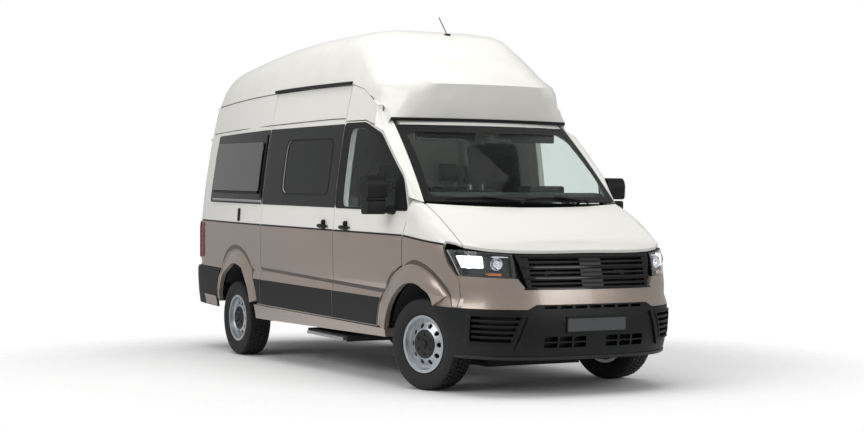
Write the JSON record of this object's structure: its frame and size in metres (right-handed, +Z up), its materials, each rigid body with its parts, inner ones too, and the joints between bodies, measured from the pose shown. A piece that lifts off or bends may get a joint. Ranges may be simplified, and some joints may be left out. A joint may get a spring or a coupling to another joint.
{
  "type": "camper van",
  "caption": "Panel-van camper with a moulded high roof: hinged cab and rear doors, bonnet, steered and free-turning wheels, and a pull-out entry step.",
  "frame": {"origin": "on the ground under the middle of the bounding box", "axes": "+X forward, +Y to the left of the van, +Z up"},
  "size_m": [5.993, 2.42, 3.0344],
  "materials": {
    "white_paint": "gloss",
    "white_moulding": "satin",
    "beige_paint": "metallic",
    "black_plastic": "grained",
    "tinted_glass": "polished",
    "clear_glass": "polished",
    "lamp_lens": "polished",
    "red_lens": "polished",
    "interior_plastic": "grained",
    "seat_fabric": "woven",
    "cabinet_board": "satin laminate",
    "underbody_coat": "matt",
    "cast_alloy": "as cast",
    "tank_plastic": "smooth",
    "step_alloy": "anodised",
    "wheel_steel": "silver paint",
    "tyre_rubber": "matt"
  },
  "bodies": {
    "body": {"floor": "underbody_coat", "chassis_rails": "underbody_coat", "engine": "cast_alloy", "underfloor_tanks": "tank_plastic", "rear_axle": "underbody_coat", "front_suspension": "underbody_coat", "cowl": "black_plastic", "sills": "beige_paint", "right_side": "white_paint", "left_side": "white_paint", "sliding_door": "white_paint", "high_roof": "white_moulding", "cab_frame": "white_paint", "windscreen": "clear_glass", "front_wings": "beige_paint", "front_panel": "beige_paint", "grille": "black_plastic", "front_bumper": "black_plastic", "headlamps": "lamp_lens", "tail_lamps": "red_lens", "rear_bumper": "black_plastic", "side_windows": "tinted_glass", "dashboard": "interior_plastic", "seat_bases": "interior_plastic", "cushions": "seat_fabric", "furniture": "cabinet_board", "roof_fittings": "black_plastic"},
    "right_front_door": {"right_front_door": "white_paint", "right_door_glass": "clear_glass", "right_mirror": "black_plastic"},
    "left_front_door": {"left_front_door": "white_paint", "left_door_glass": "clear_glass", "left_mirror": "black_plastic"},
    "right_rear_door": {"right_rear_door": "white_paint", "right_rear_glass": "tinted_glass"},
    "left_rear_door": {"left_rear_door": "white_paint", "left_rear_glass": "tinted_glass"},
    "bonnet": {"bonnet": "white_paint"},
    "entry_step": {"entry_step": "step_alloy"},
    "left_knuckle": {"left_knuckle": "underbody_coat"},
    "right_knuckle": {"right_knuckle": "underbody_coat"},
    "steering_wheel": {"steering_wheel": "interior_plastic"},
    "front_left_wheel": {"front_left_rim": "wheel_steel", "front_left_tyre": "tyre_rubber"},
    "front_right_wheel": {"front_right_rim": "wheel_steel", "front_right_tyre": "tyre_rubber"},
    "rear_left_wheel": {"rear_left_rim": "wheel_steel", "rear_left_tyre": "tyre_rubber"},
    "rear_right_wheel": {"rear_right_rim": "wheel_steel", "rear_right_tyre": "tyre_rubber"}
  },
  "joints": [
    {"name": "right_front_door_hinge", "type": "hinge", "parent": "body", "child": "right_front_door", "pos_m": [1.78261, -0.99365, 1.06186], "axis": [0.0237, 0, 0.9997], "range_deg": [0, 70]},
    {"name": "left_front_door_hinge", "type": "hinge", "parent": "body", "child": "left_front_door", "pos_m": [1.78261, 0.99365, 1.06186], "axis": [-0.0237, 0, -0.9997], "range_deg": [0, 70]},
    {"name": "right_rear_door_hinge", "type": "hinge", "parent": "body", "child": "right_rear_door", "pos_m": [-2.94019, -0.723, 0.8739], "axis": [0.0935, 0, 0.9956], "range_deg": [0, 180]},
    {"name": "left_rear_door_hinge", "type": "hinge", "parent": "body", "child": "left_rear_door", "pos_m": [-2.94019, 0.723, 0.8739], "axis": [-0.0935, 0, -0.9956], "range_deg": [0, 180]},
    {"name": "bonnet_hinge", "type": "hinge", "parent": "body", "child": "bonnet", "pos_m": [2.1452, 0, 1.29332], "axis": [0, -1, 0], "range_deg": [0, 60]},
    {"name": "entry_step_slide", "type": "slide", "parent": "body", "child": "entry_step", "axis": [0, -1, 0], "range_m": [0, 0.24]},
    {"name": "left_steer", "type": "hinge", "parent": "body", "child": "left_knuckle", "pos_m": [1.98725, 0.7, 0.35], "axis": [0, 0, 1], "range_deg": [-53, 23]},
    {"name": "right_steer", "type": "hinge", "parent": "body", "child": "right_knuckle", "pos_m": [1.98725, -0.7, 0.35], "axis": [0, 0, 1], "range_deg": [-53, 23]},
    {"name": "steering_wheel_turn", "type": "hinge", "parent": "body", "child": "steering_wheel", "pos_m": [1.26626, 0.42, 1.26417], "axis": [-0.8716, 0, 0.4903], "range_deg": [-795, 345]},
    {"name": "front_left_spin", "type": "hinge", "parent": "left_knuckle", "child": "front_left_wheel", "pos_m": [1.9452, 0.85696, 0.35], "axis": [-0.2588, 0.9659, 0], "continuous": true},
    {"name": "front_right_spin", "type": "hinge", "parent": "right_knuckle", "child": "front_right_wheel", "pos_m": [2.02931, -0.85696, 0.35], "axis": [-0.2588, 0.9659, 0], "continuous": true},
    {"name": "rear_left_spin", "type": "hinge", "parent": "body", "child": "rear_left_wheel", "pos_m": [-1.65274, 0.8625, 0.35], "axis": [0, 1, 0], "continuous": true},
    {"name": "rear_right_spin", "type": "hinge", "parent": "body", "child": "rear_right_wheel", "pos_m": [-1.65274, -0.8625, 0.35], "axis": [0, 1, 0], "continuous": true}
  ],
  "couplings": [
    {"joint": "right_steer", "follows": "left_steer", "ratio": 1},
    {"joint": "steering_wheel_turn", "follows": "left_steer", "ratio": 15}
  ]
}
